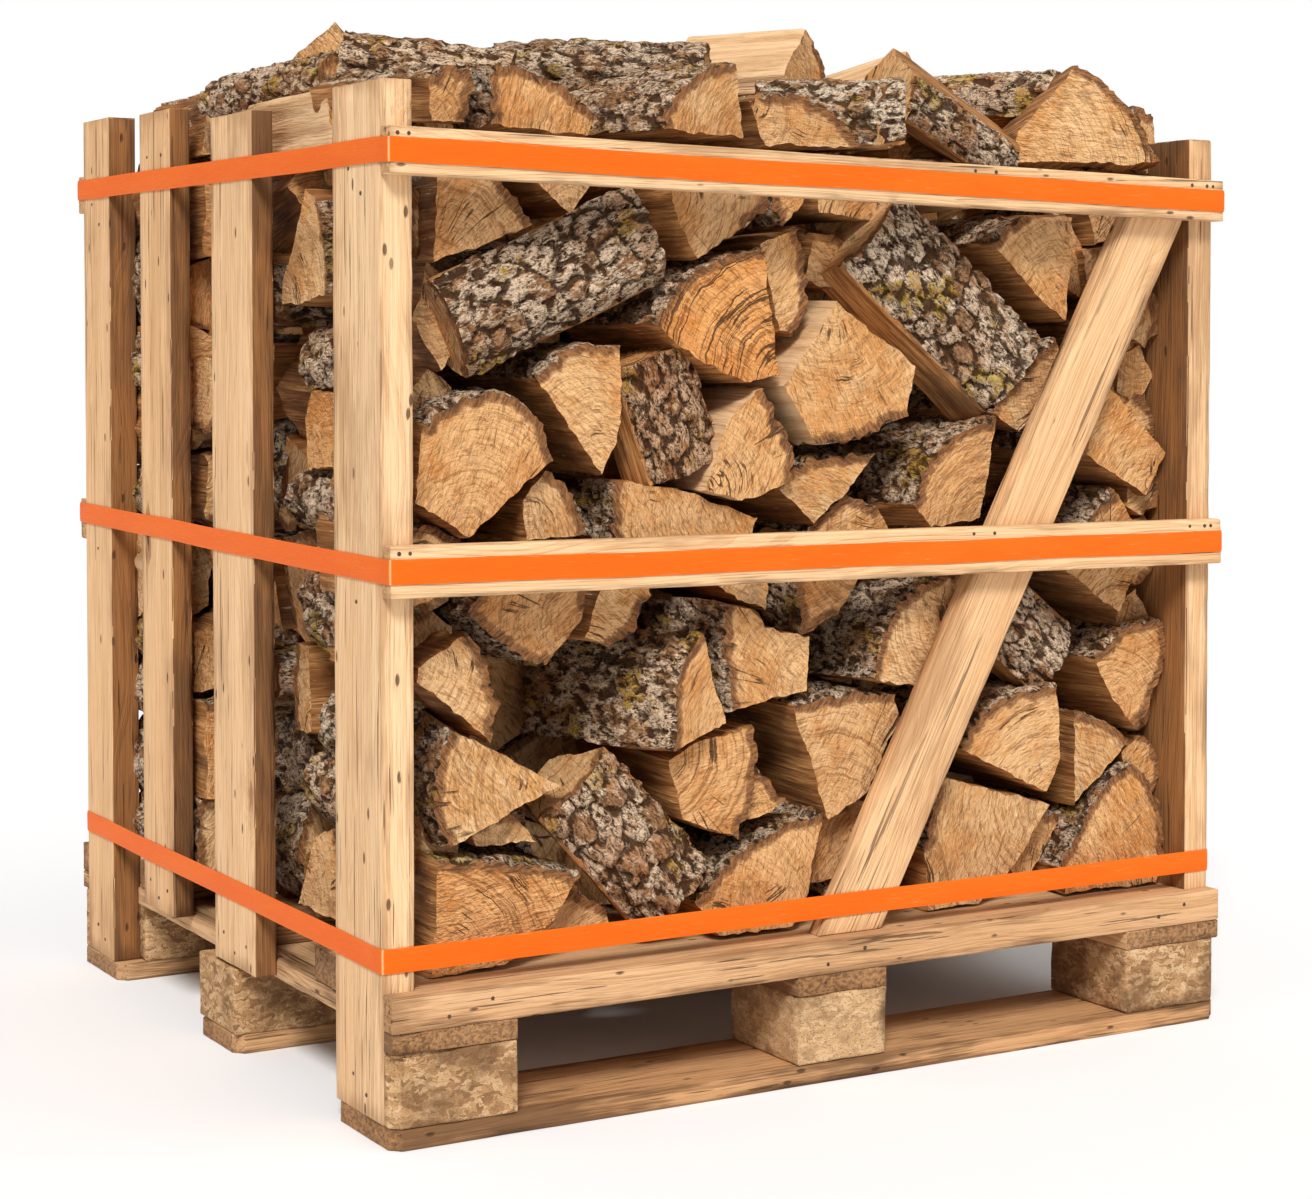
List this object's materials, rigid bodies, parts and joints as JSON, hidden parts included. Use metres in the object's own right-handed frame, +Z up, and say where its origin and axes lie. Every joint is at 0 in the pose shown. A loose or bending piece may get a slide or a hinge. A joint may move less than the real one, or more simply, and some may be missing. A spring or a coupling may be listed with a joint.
{
  "type": "firewood crate on block pallet",
  "caption": "Slatted timber crate on a block pallet, heaped with split hardwood firewood and held by three flat orange bands.",
  "frame": {"origin": "on the floor, at the middle of the crate's footprint", "axes": "+X to the right along the front, +Y from the front to the rear, +Z up"},
  "size_m": [1.1136, 1.0036, 1.196],
  "materials": {
    "sawn_pine": "rough sawn pale pine with knots",
    "pallet_pine": "rough sawn pine, slightly stained",
    "pressed_chips": "pressed wood chips, matt and stained",
    "orange_band": "embossed orange strapping, half gloss",
    "firewood": "split hardwood, with grey plated bark",
    "nail_steel": "dull steel wire"
  },
  "bodies": {
    "root": {"bottom_board_front": "pallet_pine", "bottom_board_middle": "pallet_pine", "bottom_board_rear": "pallet_pine", "block_front_left": "pressed_chips", "block_rear_left": "pressed_chips", "block_middle_left": "pressed_chips", "block_front_right": "pressed_chips", "block_rear_right": "pressed_chips", "block_middle_right": "pressed_chips", "block_front_centre": "pressed_chips", "block_middle_centre": "pressed_chips", "block_rear_centre": "pressed_chips", "stringer_left": "pallet_pine", "stringer_right": "pallet_pine", "stringer_centre": "pallet_pine", "deck_board_front": "pallet_pine", "deck_board_rear": "pallet_pine", "deck_board_front_inner": "pallet_pine", "deck_board_middle": "pallet_pine", "deck_board_rear_inner": "pallet_pine", "post_front_left": "sawn_pine", "post_front_right": "sawn_pine", "post_rear_left": "sawn_pine", "post_rear_right": "sawn_pine", "slat_left_near": "sawn_pine", "slat_left_far": "sawn_pine", "slat_right_near": "sawn_pine", "slat_right_far": "sawn_pine", "rail_top_front": "sawn_pine", "rail_middle_front": "sawn_pine", "rail_top_rear": "sawn_pine", "rail_middle_rear": "sawn_pine", "brace_front": "sawn_pine", "brace_rear": "sawn_pine", "band_top": "orange_band", "band_middle": "orange_band", "band_bottom": "orange_band", "log_bark_upper_left": "firewood", "log_ringed_quarter": "firewood", "log_left_middle": "firewood", "log_pale_centre": "firewood", "log_bark_upper_right": "firewood", "log_upper_right": "firewood", "log_right_middle": "firewood", "log_bark_left_centre": "firewood", "log_wedge_left": "firewood", "log_bottom_left": "firewood", "log_bark_lower_centre": "firewood", "log_centre_low": "firewood", "log_beside_brace": "firewood", "log_quarter_right": "firewood", "log_bottom_right": "firewood", "log_top_left": "firewood", "log_top_bark": "firewood", "log_top_middle": "firewood", "log_top_wedge": "firewood", "log_top_leaning": "firewood", "log_top_quarter": "firewood", "logs_inside": "firewood", "logs_on_top": "firewood"}
  },
  "joints": []
}
